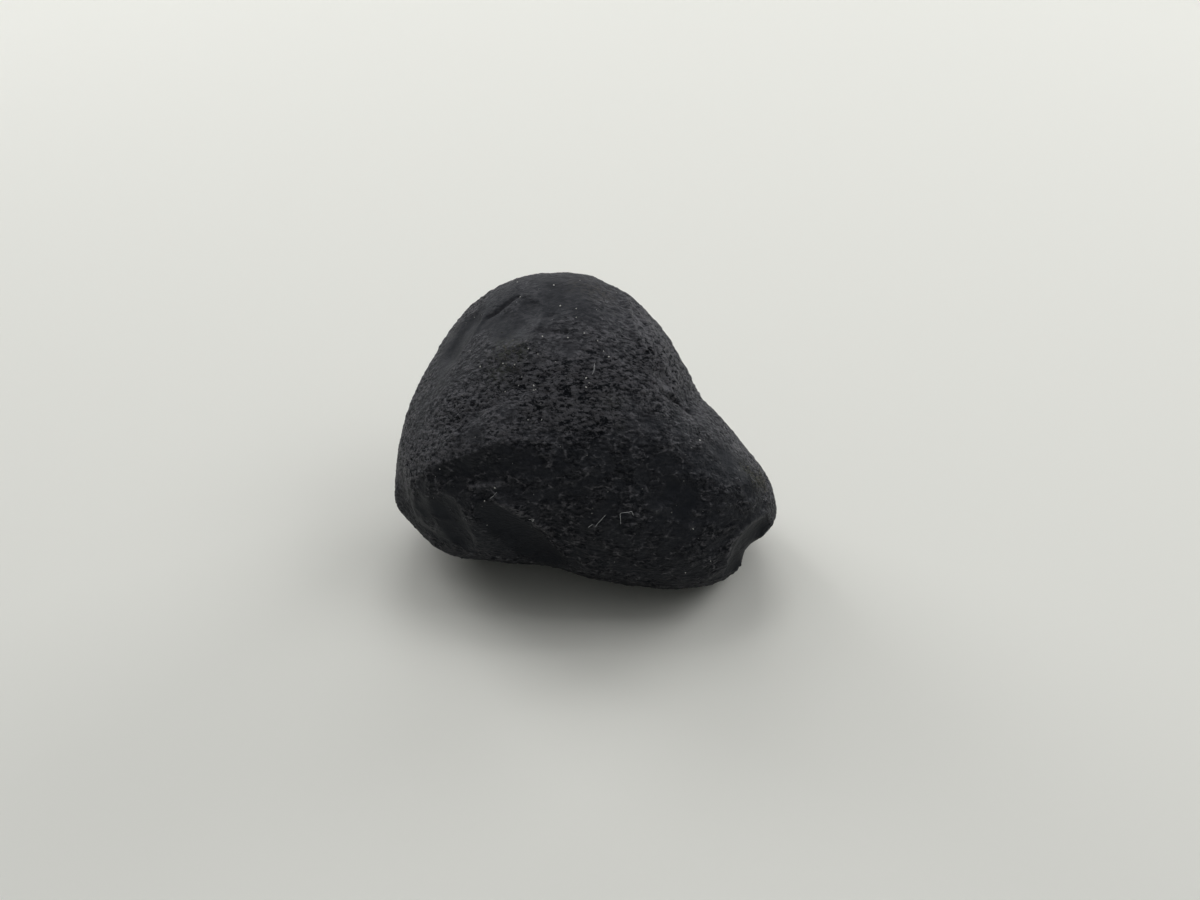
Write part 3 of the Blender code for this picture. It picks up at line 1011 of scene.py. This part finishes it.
def addFibre(shape, laid):
    sides = lint["sides"]
    rings = []
    for k, (place, out) in enumerate(laid):
        along = (laid[min(k + 1, len(laid) - 1)][0] - laid[max(k - 1, 0)][0]).normalized()
        side = along.cross(out).normalized()
        up = side.cross(along)
        half = lint["thickness"] * mm / 2
        rings.append([shape.verts.new(place + half * (math.cos(t) * side + math.sin(t) * up))
                      for t in (math.tau * i / sides for i in range(sides))])
    for a, b in zip(rings[:-1], rings[1:]):
        for i in range(sides):
            shape.faces.new((a[i], a[(i + 1) % sides], b[(i + 1) % sides], b[i]))
    shape.faces.new(rings[0])
    shape.faces.new(rings[-1])


def makeLint(stone):
    draw = random.Random(lint["seed"])
    shape = bmesh.new()
    for route in lint["routes"]:
        addFibre(shape, fibrePath(stone, route))
    for k in range(lint["strewn"]):
        start, out = somewhere(stone, draw)
        if out.y < lint["backFrom"]:       # the near side's fibres are all in the list
            continue
        way = Vector([draw.gauss(0, 1) for i in range(3)]).cross(out).normalized()
        bend = way.cross(out) * draw.uniform(-lint["bend"], lint["bend"])
        reach = draw.uniform(*lint["length"])
        route = [start / mm, start / mm + (way + bend) * reach / 2, start / mm + way * reach]
        addFibre(shape, fibrePath(stone, route))
    bmesh.ops.recalc_face_normals(shape, faces=shape.faces)
    fibres = newPiece("lint", shape, dustFinish("cotton lint, settled", lint["shades"], lint["rough"]))
    fibres.data.shade_smooth()
    return fibres


# a light tent: soft lamps on a dome round the stone, as degrees round from straight behind it,
# degrees above the floor, and watts; its sizes are in metres
tent = {
    "radius": 0.5,
    "lampSize": 0.22,
    "lamps": {
        "back": (0, 24, 0.23),
        "backRight": (48, 18, 0.65),
        "backLeft": (315, 24, 0.56),
        "upperLeft": (315, 46, 0.26),
        "upperRight": (90, 46, 0.26),
        "frontRight": (120, 46, 0.12),
        "ceilingBack": (0, 68, 0.40),
        "ceilingRight": (90, 68, 0.20),
        "ceilingLeft": (270, 68, 0.14),
    },
    "floorRadius": 0.42,
    "floorColour": "#edede7",
    "floorDullness": 0.9,
    "floorShine": 0.2,
    # the cloth behind: distance and height; it fades in over the floor and then rises to a wall
    "cloth": [(0.18, 0.0001), (0.40, 0.0001), (0.52, 0.006), (0.60, 0.03), (0.66, 0.08),
              (0.70, 0.20), (0.72, 1.1)],
    "clothFade": (0.18, 0.33),
    "clothColour": "#d1d2cc",
    "sides": 96,
    "worldColour": "#e9ebe9",
    "worldStrength": 0.200,
}

cameraView = {
    "elevation": 35.0,         # degrees
    "distance": 0.175,
    "aim": (0.00155, -0.00168, 0.0125),
    "lens": 50.0, "sensor": 36.0,          # mm
    "clip": (0.01, 20.0),
}


def paleFloor():
    # matt white backdrop paper: even and bright, with no glints
    material, tree = newMaterial("backdrop paper, matt white")
    shader = addNode(tree, "ShaderNodeBsdfPrincipled", {
        "Base Color": linearColour(tent["floorColour"]),
        "Roughness": tent["floorDullness"],
        "Specular IOR Level": tent["floorShine"],
    })
    addNode(tree, "ShaderNodeOutputMaterial", links={"Surface": shader.outputs["BSDF"]})
    return material


def litCloth():
    # the lit white cloth of the tent, as plain as it looks from inside, fading in over the paper
    material, tree = newMaterial("tent cloth, lit")
    place = addNode(tree, "ShaderNodeTexCoord").outputs["Object"]
    distance = addNode(tree, "ShaderNodeVectorMath", {"operation": "LENGTH"}, {0: place})
    share = addNode(tree, "ShaderNodeMapRange", {
        "interpolation_type": "SMOOTHSTEP",
        "From Min": tent["clothFade"][0],
        "From Max": tent["clothFade"][1],
    }, {"Value": distance.outputs["Value"]})
    colour = linearColour(tent["clothColour"])
    glow = addNode(tree, "ShaderNodeEmission", {"Color": colour, "Strength": 1.0})
    clear = addNode(tree, "ShaderNodeBsdfTransparent")
    blend = addNode(tree, "ShaderNodeMixShader", links={"Fac": share.outputs["Result"]})
    tree.links.new(clear.outputs["BSDF"], blend.inputs[1])
    tree.links.new(glow.outputs["Emission"], blend.inputs[2])
    addNode(tree, "ShaderNodeOutputMaterial", links={"Surface": blend.outputs["Shader"]})
    return material


def stagePiece(name, shape, material):
    piece = newPiece(name, shape, material)
    return piece


def makeFloor():
    # a round floor, and round it the cloth, which closes the view at eye level but sheds no light
    sides = tent["sides"]
    shape = bmesh.new()
    bmesh.ops.create_circle(shape, cap_ends=True, segments=sides, radius=tent["floorRadius"])
    stagePiece("floor", shape, paleFloor())
    shape = bmesh.new()
    turns = [math.tau * k / sides for k in range(sides)]
    rings = []
    for r, z in tent["cloth"]:
        rings.append([shape.verts.new((r * math.cos(t), r * math.sin(t), z)) for t in turns])
    for low, high in zip(rings[:-1], rings[1:]):
        for k in range(sides):
            shape.faces.new((low[k - 1], low[k], high[k], high[k - 1]))
    cloth = stagePiece("cloth", shape, litCloth())
    cloth.data.shade_smooth()
    cloth.visible_diffuse = cloth.visible_glossy = cloth.visible_shadow = cloth.visible_transmission = False


def makeLamps():
    for name, (around, above, power) in tent["lamps"].items():
        turn, rise = math.radians(around), math.radians(above)
        light = bpy.data.lights.new(name, "AREA")
        light.shape = "SQUARE"
        light.size = tent["lampSize"]
        light.energy = power
        holder = bpy.data.objects.new(name, light)
        toLamp = Vector((math.sin(turn) * math.cos(rise), math.cos(turn) * math.cos(rise), math.sin(rise)))
        holder.visible_camera = False
        holder.location = toLamp * tent["radius"]
        holder.rotation_euler = toLamp.to_track_quat("Z", "Y").to_euler()
        bpy.context.scene.collection.objects.link(holder)


def makeWorld():
    world = bpy.data.worlds.new("studio")
    world.use_nodes = True
    world.node_tree.nodes.clear()
    light = addNode(world.node_tree, "ShaderNodeBackground", {
        "Color": linearColour(tent["worldColour"]),
        "Strength": tent["worldStrength"],
    })
    addNode(world.node_tree, "ShaderNodeOutputWorld", links={"Surface": light.outputs["Background"]})
    bpy.context.scene.world = world


def makeCamera():
    tilt = math.radians(cameraView["elevation"])
    back = Vector((0, -math.cos(tilt), math.sin(tilt))) * cameraView["distance"]
    lens = bpy.data.cameras.new("camera")
    lens.lens = cameraView["lens"]
    lens.sensor_width = cameraView["sensor"]
    lens.clip_start, lens.clip_end = cameraView["clip"]
    camera = bpy.data.objects.new("camera", lens)
    camera.location = Vector(cameraView["aim"]) + back
    camera.rotation_euler = (math.pi / 2 - tilt, 0, 0)
    bpy.context.scene.collection.objects.link(camera)
    bpy.context.scene.camera = camera


makeCamera()
makeWorld()
makeLamps()
makeFloor()
print("stage is set")

stone = makeSkin(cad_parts["stone"])
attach(stone, "root")
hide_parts("stone")
print("stone is done")

specks = [makeGrains(stone, name, kind) for name, kind in grains.items()] + [makeLint(stone)]
for piece in specks:
    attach(piece, "root")
    print(piece.name, len(piece.data.polygons), "faces")

bpy.context.scene.view_settings.view_transform = "Standard"
